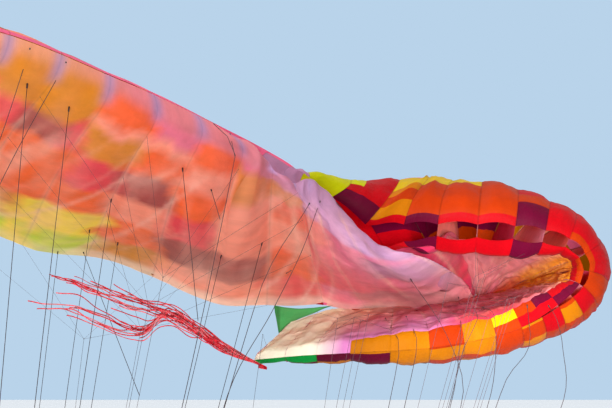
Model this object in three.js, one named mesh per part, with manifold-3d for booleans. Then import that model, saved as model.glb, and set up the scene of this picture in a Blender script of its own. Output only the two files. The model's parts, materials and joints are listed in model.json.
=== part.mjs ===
// Paraglider with one half of its canopy inflated and the other half folded round into a bowl.
// Millimetres, +Z up. The origin lies midway between the two hang loops where a rider hooks in.
// -Y is the way the leading edge faces, -X is the wing's right side.
import * as THREE from "three";
import { mergeVertices } from "three/addons/utils/BufferGeometryUtils.js";
import Module from "manifold-3d";

const wasm = await Module();
wasm.setup();

const SLIVER = 0.02; // where solids are joined, corners nearer to each other than this become one

// Canopy
const CELLS = 44;
const CELLS_PER_PANEL = 4;
const CLOTH = 3; // a skin's thickness as a solid
const RIB_PLATE = 2;
const SEAM_GAP = 0.3; // between pieces that are sewn together
const RIB_FROM = 2; // the outline point where a rib begins
const RIB_SUNK = 1; // a rib's foot in the lower skin
const RIB_GAP = 2.6; // left under the upper skin, which bends between its ribs
const SHARED_NOSE = 0.12; // share of the chord where both skins still face the same way
const SHARED_TAIL = 0.15;
const BULGE_SCALE = 6.75; // makes c(1 - c)^2 one at its top, a third of the way back
const SLOPE_STEP = 0.02; // of a cell and of the chord, to find which way the surface faces
const LOOSE_SAG = 150; // past this the lower skin no longer follows the bow
const LIP_DROP = new THREE.Vector3(0, 0, -120); // where the lower skin is loose, its lip hangs lower
const LIP_FADE = 6; // power of the distance from the trailing edge by which that fades
const INSET_WIDTH = 150; // the widest cell that a seam's opening is reckoned by
const RIB_ASIDE = 0.5; // from a seam to the rib's plate
const RIB_SAG = 60; // past this no rib reaches the lower skin

// Stations along the span: the rib's number from the left tip, leading edge, trailing edge,
// the bow of the section and the sag of its lower skin, both at the front third of the chord,
// and how full of air the section is over and under its chord.
const STATIONS = [
  [0, [730, 2710, 4440], [970, 3060, 4730], [0, 0, 0], [0, 0, 0], 1, 1],
  [1.5, [1050, 2760, 4470], [1280, 3440, 4860], [0, 0, 0], [0, 0, 0], 1, 1],
  [3, [1400, 2810, 4490], [1620, 3840, 4905], [0, 0, 20], [0, 0, 0], 1, 1],
  [5, [1980, 2900, 4530], [2080, 4620, 5015], [0, 0, 40], [0, 0, 0], 0.9, 0.9],
  [7.5, [2580, 2980, 4650], [2550, 4980, 5130], [0, 0, 20], [0, 0, 0], 0.9, 0.9],
  [10, [2970, 3040, 4850], [2850, 5230, 5175], [0, 0, 0], [0, 0, 0], 1, 0.8],
  [12, [3150, 3050, 5010], [2960, 5300, 5185], [0, 0, 0], [0, 0, 0], 1.1, 0.5],
  [13.5, [3190, 3060, 5170], [3080, 5440, 5215], [20, 0, 20], [0, 0, 0], 1.1, 0.35],
  [15, [3060, 3030, 5310], [2940, 5290, 5255], [30, 0, 60], [0, 0, 0], 1.2, 0.5],
  [17, [2660, 3010, 5390], [2810, 5190, 5225], [20, 0, 180], [0, 0, 0], 1.25, 0.9],
  [19.2, [2020, 3010, 5410], [2760, 5070, 5195], [0, 0, 260], [0, 0, 0], 1.25, 0.9],
  [20.2, [1760, 2980, 5410], [2710, 4865, 5140], [0, 0, 300], [0, -60, -110], 1.2, 1],
  [20.9, [1530, 2910, 5420], [2650, 4620, 5090], [0, 0, 340], [-20, -400, -150], 1, 1],
  [22.1, [1230, 2780, 5680], [2050, 4450, 5005], [0, 0, 200], [-100, -900, -300], 0.9, 0.9],
  [23.3, [1080, 2600, 5750], [1500, 4320, 4960], [0, -50, 50], [-60, -650, -200], 0.8, 0.8],
  [24.5, [970, 2430, 5790], [1040, 4130, 4980], [0, -150, -50], [0, -300, -60], 0.8, 0.8],
  [25.6, [720, 2150, 5860], [390, 4080, 4960], [0, -200, -80], [0, 0, 0], 0.9, 0.9],
  [26.7, [490, 1880, 5900], [-60, 3890, 5120], [0, -200, -80], [0, 0, 0], 1, 1],
  [27.7, [250, 1680, 5960], [-560, 3700, 5300], [0, -200, -80], [0, 0, 0], 1, 1],
  [28.7, [20, 1490, 6010], [-1070, 3530, 5350], [0, -200, -80], [0, 0, 0], 1, 1],
  [31.2, [-600, 1100, 6145], [-2010, 3040, 5720], [0, -200, -80], [0, 0, 0], 1, 1],
  [34, [-1300, 720, 6090], [-2590, 2650, 5770], [0, -150, -50], [0, 0, 0], 1, 1],
  [37, [-2050, 420, 5860], [-3000, 2250, 5480], [0, 0, 0], [0, 0, 0], 1, 1],
  [40, [-2720, 220, 5420], [-3350, 1810, 5070], [0, 0, 0], [0, 0, 0], 1, 1],
  [42, [-3080, 140, 5040], [-3500, 1440, 4760], [0, 0, 0], [0, 0, 0], 1, 1],
  [44, [-3310, 160, 4600], [-3520, 970, 4430], [0, 0, 0], [0, 0, 0], 1, 1],
].map(([rib, lead, trail, bow, sag, upper, lower]) => ({ rib, lead, trail, bow, sag, upper, lower }));

// The main colour of each panel's upper skin, from the left tip
const PANEL_COLOURS = [
  "green",
  "amber",
  "amber",
  "red",
  "orange",
  "lime",
  "orange",
  "red",
  "amber",
  "red",
  "lime",
];

// Section outline as [share of the chord, height over the chord], from the nose opening's lip
// to the trailing edge, where both skins come together.
const UPPER_OUTLINE = [
  [0.004, 0.018],
  [0.008, 0.036],
  [0.02, 0.056],
  [0.05, 0.082],
  [0.12, 0.109],
  [0.25, 0.123],
  [0.42, 0.112],
  [0.6, 0.082],
  [0.8, 0.04],
  [1, 0],
];
const LOWER_OUTLINE = [
  [0.006, -0.02],
  [0.016, -0.05],
  [0.045, -0.07],
  [0.1, -0.07],
  [0.3, -0.057],
  [0.55, -0.036],
  [0.78, -0.015],
  [1, 0],
];

// Stabilizer panels past the end ribs: shares of the chord where each is sewn on, and its two
// free corners, the one beside the second share first
const STABILIZERS = {
  left: { rib: 0, from: 0.66, to: 1, free: [[1040, 3290, 4880], [845, 3234, 4865]] },
  right: { rib: 44, from: 0.2, to: 1, free: [[-3600, 900, 4290], [-3400, 300, 4380]] },
};
const STABILIZER_GAP = 0.7;

// Lines
const UPPER_LINE_R = 0.8;
const MAIN_LINE_R = 1.1;
const LINE_SIDES = 4;
const TAB_R = 3;
const KNOT_R = 4;
const TOUCH = 0.4; // gap between a line's tab and what it holds
const BRAKE_SHARE = 0.985; // place of a brake tab between the lower skin's last two outline points
// The line rows and the outline point of the lower skin where each is sewn on, front to back
const ROWS = { a: 3, b: 4, c: 5 };
const BRAKE_ROW = 7;
const STABILO_ROW = 4;
// Where each row's knots lie from the group's place, on the left
const ROW_OFF = { a: [-50, -140, 10], b: [0, 0, 0], c: [60, 90, 50], brake: [0, 0, 0] };
// Each group of ribs hangs from one knot. The left groups' knots lie in the mouth of the bowl.
const RIGHT_GROUPS = [[24, 26, 28, 30], [32, 34, 36, 38], [40, 42]];
const LEFT_GROUPS = [
  { ribs: [18, 16], knot: [2260, 2450, 4960] },
  { ribs: [10, 8, 6], knot: [2450, 2400, 4800] },
  { ribs: [4, 2], knot: [1450, 2350, 4680] },
];
const KNOT_TURN = new THREE.Vector3(0.3, 0.5, 0.8).normalize();
const KNOT_SHARE = 0.84; // from a riser to the middle of a group's tabs
const RIGHT_BRAKES = [[25, 27, 29, 31], [33, 35, 37], [39, 41, 43]];
const LEFT_BRAKES = [
  { ribs: [17, 15], knot: [2060, 2500, 4950] },
  { ribs: [6, 4], knot: [2310, 2430, 4710] },
  { ribs: [1, 3], knot: [1300, 2400, 4700] },
];

// Risers, in a frame of their own: x across, y back and z up along the straps
const HANG_HALF = 210; // half the distance between the hang loops
const RISER_UP = { right: [0.08, 0.36, 0.93], left: [0.4, 0.46, 0.79] };
const LOOP_HOLE_R = 11;
const LOOP_HALF = 8; // half the straight part of the hang loop
const STRAP_WIDTH = 20;
const STRAP_THICK = 3;
const STEM_THICK = 9;
const STEM_END = 95;
const STRAP_END = 470; // hang loop to the eye of a strap
const STRAPS = { a: -36, b: 0, c: 36 }; // how far back each strap ends
const CURVE_STEPS = 4; // straight parts in each quarter turn of a loop or an eye
const EYE_HOLE_R = 6;
const EYE_WIDTH = 8;
const SEAT = 0.3; // gap between pieces that hang in each other
const LINK_R = 11;
const LINK_WIRE_R = 2;
const LINK_STRETCH = 9;
const LINK_SIDES = 12;
const LINK_WIRE_SIDES = 6;
const LINK_BEND = 1.4; // how far the link's bar rises inside the eye's width
const STABILO_SIDE = -9; // its knot beside the main one
const STABILO_KNOT = { left: [800, 2480, 4600], right: [-2700, 260, 3900] };

// Brakes, in the riser's frame
const PULLEY_BACK = 80;
const PULLEY_UP = 385;
const SHEAVE_R = 9;
const SHEAVE_GROOVE_R = 7;
const SHEAVE_BORE_R = 2.4;
const SHEAVE_THICK = 4;
const SHEAVE_SIDES = 12;
const GROOVE_HALF = 1.6;
const PIN_R = 2;
const PIN_SIDES = 8;
const CHEEK_R = 6;
const CHEEK = 1.6;
const CHEEK_GAP = 0.5;
const BRIDGE = [60, 65.5]; // from the strap back
const HANDLE_R = 20;
const HANDLE_HOLE_R = 15;
const HANDLE_HALF = 40; // half the straight part of the handle
const HANDLE_HOLE_HALF = 39;
const HANDLE_WIDTH = 22;
const HANDLE_UP = 270;
const TAIL_SUNK = 2; // how far the handle's line starts inside its webbing
const GROOVE_GAP = 0.5;
const BRAKE_LINE_BACK = PULLEY_BACK + SHEAVE_GROOVE_R + MAIN_LINE_R + GROOVE_GAP;
const TAIL_END = PULLEY_UP + 650; // past the travel, so that the line stays in its groove
const BRAKE_SIDE = 8; // the brake line that stays, beside the handle's own
const BRAKE_START = PULLEY_UP + 20;
const BRAKE_SPREAD = PULLEY_UP + 700;

// Ribbons streaming from the left tip
const STREAMER_R = 7;
const STREAMER_SIDES = 5;
const STREAMER_STEPS = 18;
const STREAMER_ROW = 2; // outline point that the ribbons are tied to
const STREAMER_TIE = 0.01; // share of the bundle's length where its tie meets it
const STREAMER_PATH = [
  [760, 2690, 4395],
  [820, 2680, 4385],
  [530, 2640, 4520],
  [330, 2570, 4640],
  [130, 2550, 4720],
  [-40, 2580, 4600],
  [-480, 2490, 4730],
  [-790, 2440, 4750],
];

const COLOURS = {
  red: 0xd9001a,
  maroon: 0x70002e,
  orange: 0xe05000,
  amber: 0xd98a00,
  lime: 0xc4d200,
  green: 0x009a3c,
  white: 0xe9d3dc,
  line: 0x3a2b30,
  webbing: 0x24262b,
  steel: 0xb8bcc2,
  ribbon: 0xc01024,
};

function cloth(colour) {
  return new THREE.MeshStandardMaterial({ color: COLOURS[colour], roughness: 0.75, metalness: 0 });
}

function metal() {
  return new THREE.MeshStandardMaterial({ color: COLOURS.steel, roughness: 0.3, metalness: 1 });
}

// Geometry and solids

function solid(geometry, matrix = new THREE.Matrix4()) {
  const bare = geometry.clone();
  bare.deleteAttribute("normal");
  bare.deleteAttribute("uv");
  bare.applyMatrix4(matrix);
  const merged = mergeVertices(bare, 1e-3);
  return new wasm.Manifold(
    new wasm.Mesh({
      numProp: 3,
      vertProperties: new Float32Array(merged.attributes.position.array),
      triVerts: new Uint32Array(merged.index.array),
    }),
  );
}

function join(solids) {
  return solids.reduce((whole, next) => whole.add(next));
}

function geometryOf(made) {
  const mesh = made.getMesh();
  const geometry = new THREE.BufferGeometry();
  geometry.setAttribute("position", new THREE.BufferAttribute(new Float32Array(mesh.vertProperties), 3));
  geometry.setIndex([...mesh.triVerts]);
  geometry.computeVertexNormals();
  return geometry;
}

// A joined solid's faces, with the corners that lie nearly at one place made one.
function weldedGeometryOf(made) {
  const geometry = geometryOf(made);
  const position = geometry.attributes.position;
  const owner = [...Array(position.count).keys()];
  const find = (i) => (owner[i] === i ? i : find(owner[i]));
  const at = (i) => new THREE.Vector3().fromBufferAttribute(position, i);
  const corners = geometry.index.array;
  const faces = [];
  for (let i = 0; i < corners.length; i += 3) faces.push([...corners.slice(i, i + 3)]);
  for (const face of faces) {
    face.forEach((from, k) => {
      const to = face[(k + 1) % 3];
      if (at(from).distanceTo(at(to)) < SLIVER) owner[find(from)] = find(to);
    });
  }
  const kept = faces.map((face) => face.map(find)).filter((face) => new Set(face).size === 3);
  geometry.setIndex(kept.flat());
  return geometry;
}

function indexed(points, triangles) {
  const geometry = new THREE.BufferGeometry();
  const flat = points.flatMap((point) => point.toArray());
  geometry.setAttribute("position", new THREE.Float32BufferAttribute(flat, 3));
  geometry.setIndex(triangles.flat());
  return geometry;
}

const paraglider = new THREE.Group();

function place(name, geometry, material, parent = paraglider) {
  const mesh = new THREE.Mesh(geometry, material);
  mesh.name = name;
  parent.add(mesh);
  return mesh;
}

// Canopy surface

// A smooth curve through the stations' values, with each station's slope taken from its neighbours.
function along(rib, read) {
  const last = STATIONS.length - 1;
  let i = 0;
  while (i < last - 1 && STATIONS[i + 1].rib < rib) i += 1;
  const slope = (k) => {
    const a = STATIONS[Math.max(k - 1, 0)];
    const b = STATIONS[Math.min(k + 1, last)];
    return (read(b) - read(a)) / (b.rib - a.rib);
  };
  const from = STATIONS[i];
  const to = STATIONS[i + 1];
  const width = to.rib - from.rib;
  const t = (rib - from.rib) / width;
  const t2 = t * t;
  const t3 = t2 * t;
  return (
    (2 * t3 - 3 * t2 + 1) * read(from) +
    (t3 - 2 * t2 + t) * width * slope(i) +
    (3 * t2 - 2 * t3) * read(to) +
    (t3 - t2) * width * slope(i + 1)
  );
}

function pointAlong(rib, key) {
  return new THREE.Vector3(...[0, 1, 2].map((axis) => along(rib, (station) => station[key][axis])));
}

// How far a rib's lower skin has come away from its section, from 0 to 1.
function looseAt(rib) {
  return Math.min(pointAlong(rib, "sag").length() / LOOSE_SAG, 1);
}

// A skin's guide surface: the chord line, bowed most at its front third. Side -1 is the lower
// skin, which leaves that bow where it sags.
function middle(rib, share, side) {
  const curve = pointAlong(rib, "lead").lerp(pointAlong(rib, "trail"), share);
  const bulge = BULGE_SCALE * share * (1 - share) * (1 - share);
  if (side > 0) return curve.addScaledVector(pointAlong(rib, "bow"), bulge);
  curve.addScaledVector(pointAlong(rib, "bow"), bulge * (1 - looseAt(rib)));
  curve.addScaledVector(LIP_DROP, (1 - share) ** LIP_FADE * looseAt(rib));
  return curve.addScaledVector(pointAlong(rib, "sag"), bulge);
}

function upwards(rib, share, side) {
  const at = (r, c) => middle(Math.min(Math.max(r, 0), CELLS), Math.min(Math.max(c, 0), 1), side);
  const spanwise = at(rib + SLOPE_STEP, share).sub(at(rib - SLOPE_STEP, share));
  const chordwise = at(rib, share + SLOPE_STEP).sub(at(rib, share - SLOPE_STEP));
  return chordwise.cross(spanwise).normalize();
}

function chord(rib) {
  return pointAlong(rib, "lead").distanceTo(pointAlong(rib, "trail"));
}

// One skin's outline at a rib in the section's own plane, at a depth inside the outer face.
function sectionOutline(rib, outline, side, depth) {
  const length = chord(rib);
  const full =
    side > 0
      ? along(rib, (station) => station.upper)
      : along(rib, (station) => station.lower) * (1 - looseAt(rib));
  const edge = side * (CLOTH + SEAM_GAP / 2);
  const outer = outline.map(
    ([share, height]) => new THREE.Vector2(share * length, height * length * full + edge),
  );
  return outer.map((point, i) => {
    const a = outer[Math.max(i - 1, 0)];
    const b = outer[Math.min(i + 1, outer.length - 1)];
    const run = b.clone().sub(a).normalize();
    return new THREE.Vector2(run.y * side * depth, -run.x * side * depth).add(point);
  });
}

function skinPoints(rib, outline, side, depth) {
  const length = chord(rib);
  return sectionOutline(rib, outline, side, depth).map((point) => {
    const share = Math.min(Math.max(point.x / length, 0), 1);
    const own = Math.min(share / SHARED_NOSE + looseAt(rib), (1 - share) / SHARED_TAIL, 1);
    const up = upwards(rib, share, 1).lerp(upwards(rib, share, side), Math.max(own, 0)).normalize();
    return middle(rib, share, side).addScaledVector(up, point.y);
  });
}

const grids = new Map();

function gridAt(rib, side, depth) {
  const key = [rib, side, depth].join();
  if (!grids.has(key)) {
    const outline = side > 0 ? UPPER_OUTLINE : LOWER_OUTLINE;
    grids.set(key, skinPoints(rib, outline, side, depth));
  }
  return grids.get(key);
}

// Points at a place between two whole ribs lie on the flat facets between them.
function between(rib, side, depth) {
  const base = Math.min(Math.floor(rib), CELLS - 1);
  const t = rib - base;
  const a = gridAt(base, side, depth);
  const b = gridAt(base + 1, side, depth);
  return a.map((point, i) => point.clone().lerp(b[i], t));
}

// A closed sheet between outer and inner rows of points.
function sheet(rows, side) {
  const n = rows.length;
  const m = rows[0].outer.length;
  const points = [...rows.flatMap((row) => row.outer), ...rows.flatMap((row) => row.inner)];
  const out = (i, j) => i * m + j;
  const inn = (i, j) => n * m + i * m + j;
  const triangles = [];
  const quad = (a, b, c, d) => {
    const order = side > 0 ? [a, b, c, d] : [a, d, c, b];
    triangles.push([order[0], order[1], order[2]], [order[0], order[2], order[3]]);
  };
  for (let i = 0; i < n - 1; i += 1) {
    for (let j = 0; j < m - 1; j += 1) {
      quad(out(i, j), out(i, j + 1), out(i + 1, j + 1), out(i + 1, j));
      quad(inn(i, j), inn(i + 1, j), inn(i + 1, j + 1), inn(i, j + 1));
    }
    quad(out(i, 0), out(i + 1, 0), inn(i + 1, 0), inn(i, 0));
    quad(out(i, m - 1), inn(i, m - 1), inn(i + 1, m - 1), out(i + 1, m - 1));
  }
  for (let j = 0; j < m - 1; j += 1) {
    quad(out(0, j), inn(0, j), inn(0, j + 1), out(0, j + 1));
    quad(out(n - 1, j), out(n - 1, j + 1), inn(n - 1, j + 1), inn(n - 1, j));
  }
  return indexed(points, triangles);
}

// How much of a cell is left open at its seam
function inset(rib) {
  const next = rib < CELLS ? rib + 1 : rib - 1;
  const width = (key) => pointAlong(rib, key).distanceTo(pointAlong(next, key));
  return SEAM_GAP / 2 / Math.min(width("lead"), width("trail"), INSET_WIDTH);
}

function skin(first, last, side) {
  const rows = [];
  for (let rib = first; rib <= last; rib += 1) {
    const at = rib + (rib === first ? inset(rib) : 0) - (rib === last ? inset(rib) : 0);
    rows.push({ outer: between(at, side, 0), inner: between(at, side, CLOTH) });
  }
  return sheet(rows, side);
}

// A rib's plate, from just inside the lower skin up to just under the upper skin. Its faces are
// strips that climb from point to point, in the order of the points' places along the chord.
function ribPlate(first, last) {
  const lowOutline = LOWER_OUTLINE.slice(RIB_FROM, -1);
  const topOutline = UPPER_OUTLINE.slice(RIB_FROM, -1);
  const low = (rib) => between(rib, -1, CLOTH - RIB_SUNK).slice(RIB_FROM, -1);
  const top = (rib) => between(rib, 1, CLOTH + RIB_GAP).slice(RIB_FROM, -1);
  const points = [...low(first), ...top(first), ...low(last), ...top(last)];
  const lows = lowOutline.length;
  const half = lows + topOutline.length;
  const triangles = [];
  const bothFaces = (a, b, c) => triangles.push([a, b, c], [half + a, half + c, half + b]);
  let i = 0;
  let j = 0;
  while (i < lows - 1 || j < topOutline.length - 1) {
    const lowNext = i < lows - 1 ? lowOutline[i + 1][0] : Infinity;
    const topNext = j < topOutline.length - 1 ? topOutline[j + 1][0] : Infinity;
    if (lowNext < topNext) {
      bothFaces(i, i + 1, lows + j);
      i += 1;
    } else {
      bothFaces(i, lows + j + 1, lows + j);
      j += 1;
    }
  }
  const rim = [...Array(lows).keys()];
  for (let k = half - 1; k >= lows; k -= 1) rim.push(k);
  rim.forEach((from, k) => {
    const to = rim[(k + 1) % rim.length];
    triangles.push([from, half + from, half + to], [from, half + to, to]);
  });
  return indexed(points, triangles);
}

function facingOut(made) {
  if (made.volume() >= 0) return made;
  throw new Error("a solid faces inwards");
}

function addCanopy() {
  for (let panel = 0; panel < CELLS / CELLS_PER_PANEL; panel += 1) {
    const first = panel * CELLS_PER_PANEL;
    const last = first + CELLS_PER_PANEL;
    const number = String(panel + 1).padStart(2, "0");
    place("upper_skin_" + number, skin(first, last, 1), cloth(PANEL_COLOURS[panel]));
    const pieces = [solid(skin(first, last, -1))];
    for (let rib = first; rib < last; rib += 1) {
      if (pointAlong(rib, "sag").length() > RIB_SAG) continue;
      const width = pointAlong(rib, "lead").distanceTo(pointAlong(rib + 1, "lead"));
      const start = rib + RIB_ASIDE / width;
      pieces.push(facingOut(solid(ribPlate(start, start + RIB_PLATE / width))));
    }
    if (last === CELLS) {
      const width = pointAlong(CELLS - 1, "lead").distanceTo(pointAlong(CELLS, "lead"));
      const end = CELLS - RIB_ASIDE / width;
      pieces.push(facingOut(solid(ribPlate(end - RIB_PLATE / width, end))));
    }
    place("lower_skin_ribs_" + number, geometryOf(join(pieces)), cloth("white"));
  }
}

// A thin panel sewn to an end rib along a part of its chord, with two free corners.
function stabilizer({ rib, from, to, free }) {
  const next = rib === 0 ? 1 : rib - 1;
  const sewn = [from, to].map((share) => {
    const here = middle(rib, share, 1);
    const away = here.clone().sub(middle(next, share, 1)).normalize();
    return here.addScaledVector(away, STABILIZER_GAP);
  });
  const points = [...sewn, ...free.map((corner) => new THREE.Vector3(...corner))];
  const [a, b, c] = points;
  const off = b.clone().sub(a).cross(c.clone().sub(a)).normalize().multiplyScalar(CLOTH);
  const far = points.map((point) => point.clone().add(off));
  const triangles = [[0, 2, 1], [0, 3, 2], [4, 5, 6], [4, 6, 7]];
  for (let i = 0; i < 4; i += 1) {
    const last = (i + 1) % 4;
    triangles.push([i, last, 4 + last], [i, 4 + last, 4 + i]);
  }
  return indexed([...points, ...far], triangles);
}

// Lines

function rod(from, to, radius, sides = LINE_SIDES) {
  const run = to.clone().sub(from);
  const turn = new THREE.Quaternion().setFromUnitVectors(new THREE.Vector3(0, 1, 0), run.clone().normalize());
  const middleOf = from.clone().add(to).multiplyScalar(0.5);
  const matrix = new THREE.Matrix4().compose(middleOf, turn, new THREE.Vector3(1, 1, 1));
  return solid(new THREE.CylinderGeometry(radius, radius, run.length(), sides), matrix);
}

// A knot or a sewn tab, with a corner towards what it holds.
function bead(at, radius, towards) {
  const turn = new THREE.Quaternion().setFromUnitVectors(new THREE.Vector3(0, 1, 0), towards);
  const matrix = new THREE.Matrix4().compose(at, turn, new THREE.Vector3(1, 1, 1));
  return solid(new THREE.OctahedronGeometry(radius), matrix);
}

// A tab just off the lower skin at a rib, and the way that the skin faces there.
function tabAt(rib, row) {
  const grid = gridAt(rib, -1, 0);
  const sewn = row === BRAKE_ROW ? grid[row - 1].clone().lerp(grid[row], BRAKE_SHARE) : grid[row];
  const beside = (next) => gridAt(Math.min(Math.max(next, 0), CELLS), -1, 0)[row].clone();
  const span = beside(rib + 1).sub(beside(rib - 1));
  const run = grid[Math.min(row + 1, BRAKE_ROW)].clone().sub(grid[row - 1]);
  const out = span.cross(run).normalize();
  return { at: sewn.clone().addScaledVector(out, TAB_R + TOUCH), out };
}

// One connected tree of lines: a root, its knots, and each knot's tabs.
function lineTree(root, up, branches) {
  const pieces = [bead(root, KNOT_R, up)];
  for (const { knot, tabs } of branches) {
    pieces.push(rod(root, knot, MAIN_LINE_R), bead(knot, KNOT_R, KNOT_TURN));
    for (const { at, out } of tabs) pieces.push(rod(knot, at, UPPER_LINE_R), bead(at, TAB_R, out));
  }
  return join(pieces);
}

function knotBelow(tabs, root) {
  const centre = tabs.reduce((sum, { at }) => sum.add(at), new THREE.Vector3()).divideScalar(tabs.length);
  return root.clone().lerp(centre, KNOT_SHARE);
}

function leftBranches(groups, row, off) {
  return groups.map(({ ribs, knot }) => ({
    knot: new THREE.Vector3(...knot).add(new THREE.Vector3(...off)),
    tabs: ribs.map((rib) => tabAt(rib, row)),
  }));
}

function rightBranches(groups, row, root) {
  return groups.map((ribs) => {
    const tabs = ribs.map((rib) => tabAt(rib, row));
    return { knot: knotBelow(tabs, root), tabs };
  });
}

// Risers and brakes

function riserFrame(side) {
  const up = new THREE.Vector3(...RISER_UP[side]).normalize();
  const across = new THREE.Vector3(1, 0, 0).addScaledVector(up, -up.x).normalize();
  const back = up.clone().cross(across);
  const frame = new THREE.Matrix4().makeBasis(across, back, up);
  return frame.setPosition(side === "left" ? HANG_HALF : -HANG_HALF, 0, 0);
}

// A flat shape drawn in the (back, up) plane, made solid across it.
function acrossSolid(shape, width, at = 0) {
  const options = { depth: width, bevelEnabled: false, curveSegments: CURVE_STEPS };
  const geometry = new THREE.ExtrudeGeometry(shape, options);
  geometry.translate(0, 0, at - width / 2);
  const [x, y, z] = [new THREE.Vector3(1, 0, 0), new THREE.Vector3(0, 1, 0), new THREE.Vector3(0, 0, 1)];
  return solid(geometry, new THREE.Matrix4().makeBasis(y, z, x));
}

// A ring with two straight sides of twice `half`, or a plain ring where that is 0.
function ringShape(back, up, outer, outerHalf, hole, holeHalf) {
  const trace = (path, radius, half) => {
    path.absarc(back, up + half, radius, 0, Math.PI);
    path.absarc(back, up - half, radius, Math.PI, 2 * Math.PI);
    path.closePath();
    return path;
  };
  const shape = trace(new THREE.Shape(), outer, outerHalf);
  shape.holes.push(trace(new THREE.Path(), hole, holeHalf));
  return shape;
}

// A strip from one place to another in the (back, up) plane.
function stripShape(from, to, thick) {
  const a = new THREE.Vector2(...from);
  const b = new THREE.Vector2(...to);
  const run = b.clone().sub(a).normalize();
  const aside = new THREE.Vector2(-run.y, run.x).multiplyScalar(thick / 2);
  return new THREE.Shape([
    a.clone().sub(aside),
    b.clone().sub(aside),
    b.clone().add(aside),
    a.clone().add(aside),
  ]);
}

function riser() {
  const loop = ringShape(0, 0, LOOP_HOLE_R + STRAP_THICK, LOOP_HALF, LOOP_HOLE_R, LOOP_HALF);
  const loopTop = LOOP_HALF + LOOP_HOLE_R + STRAP_THICK / 2;
  const pieces = [
    acrossSolid(loop, STRAP_WIDTH),
    acrossSolid(stripShape([0, loopTop], [0, STEM_END], STEM_THICK), STRAP_WIDTH),
  ];
  const eyeMiddle = EYE_HOLE_R + STRAP_THICK / 2;
  for (const back of Object.values(STRAPS)) {
    const from = [Math.sign(back) * STRAP_THICK, STEM_END - STEM_THICK];
    pieces.push(acrossSolid(stripShape(from, [back, STRAP_END - eyeMiddle], STRAP_THICK), STRAP_WIDTH));
    const eye = ringShape(back, STRAP_END, EYE_HOLE_R + STRAP_THICK, 0, EYE_HOLE_R, 0);
    pieces.push(acrossSolid(eye, EYE_WIDTH));
  }
  const strapBack = STRAPS.c * (PULLEY_UP - STEM_END) / (STRAP_END - STEM_END);
  const tab = stripShape([strapBack, PULLEY_UP], [BRIDGE[0] - SEAT, PULLEY_UP], STRAP_THICK);
  pieces.push(acrossSolid(tab, EYE_WIDTH));
  return geometryOf(join(pieces));
}

function quickLink(back) {
  const geometry = new THREE.TorusGeometry(LINK_R, LINK_WIRE_R, LINK_WIRE_SIDES, LINK_SIDES);
  geometry.rotateZ(Math.PI / LINK_SIDES);
  geometry.rotateX(Math.PI / 2);
  const corners = geometry.attributes.position;
  for (let i = 0; i < corners.count; i += 1) {
    const z = corners.getZ(i);
    corners.setZ(i, z + Math.sign(z) * LINK_STRETCH);
  }
  geometry.translate(0, back, linkMiddle());
  return geometryOf(solid(geometry));
}

// From a link's middle to the middle of its bars
function linkHalf() {
  return LINK_R * Math.cos(Math.PI / LINK_SIDES) + LINK_STRETCH;
}

function linkMiddle() {
  return STRAP_END + EYE_HOLE_R - LINK_BEND - LINK_WIRE_R - SEAT + linkHalf();
}

// Where the knot over a link lies
function linkTop() {
  return linkMiddle() + linkHalf() + LINK_WIRE_R + SEAT + KNOT_R;
}

function brakePulley() {
  const cheek = new THREE.Shape();
  cheek.moveTo(BRIDGE[0], PULLEY_UP + CHEEK_R);
  cheek.lineTo(BRIDGE[0], PULLEY_UP - CHEEK_R);
  cheek.absarc(PULLEY_BACK, PULLEY_UP, CHEEK_R, -Math.PI / 2, Math.PI / 2);
  cheek.closePath();
  const at = SHEAVE_THICK / 2 + CHEEK_GAP + CHEEK / 2;
  const whole = SHEAVE_THICK + 2 * (CHEEK_GAP + CHEEK);
  const bridge = stripShape([BRIDGE[0], PULLEY_UP], [BRIDGE[1], PULLEY_UP], 2 * CHEEK_R);
  const pin = [-whole / 2, whole / 2].map((x) => new THREE.Vector3(x, PULLEY_BACK, PULLEY_UP));
  return geometryOf(
    join([
      acrossSolid(cheek, CHEEK, at),
      acrossSolid(cheek, CHEEK, -at),
      acrossSolid(bridge, whole),
      rod(...pin, PIN_R, PIN_SIDES),
    ]),
  );
}

function sheave() {
  const half = SHEAVE_THICK / 2;
  const profile = [
    [SHEAVE_BORE_R, -half],
    [SHEAVE_R, -half],
    [SHEAVE_GROOVE_R, -GROOVE_HALF],
    [SHEAVE_GROOVE_R, GROOVE_HALF],
    [SHEAVE_R, half],
    [SHEAVE_BORE_R, half],
    [SHEAVE_BORE_R, -half],
  ].map(([radius, along]) => new THREE.Vector2(radius, along));
  const geometry = new THREE.LatheGeometry(profile, SHEAVE_SIDES);
  geometry.rotateZ(-Math.PI / 2);
  geometry.translate(0, PULLEY_BACK, PULLEY_UP);
  return geometryOf(solid(geometry));
}

function brakeHandle() {
  const loop = ringShape(BRAKE_LINE_BACK, HANDLE_UP, HANDLE_R, HANDLE_HALF, HANDLE_HOLE_R, HANDLE_HOLE_HALF);
  const top = HANDLE_UP + HANDLE_HALF + HANDLE_R - TAIL_SUNK;
  const tail = [top, TAIL_END].map((up) => new THREE.Vector3(0, BRAKE_LINE_BACK, up));
  return geometryOf(join([acrossSolid(loop, HANDLE_WIDTH), rod(...tail, MAIN_LINE_R)]));
}

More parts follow.
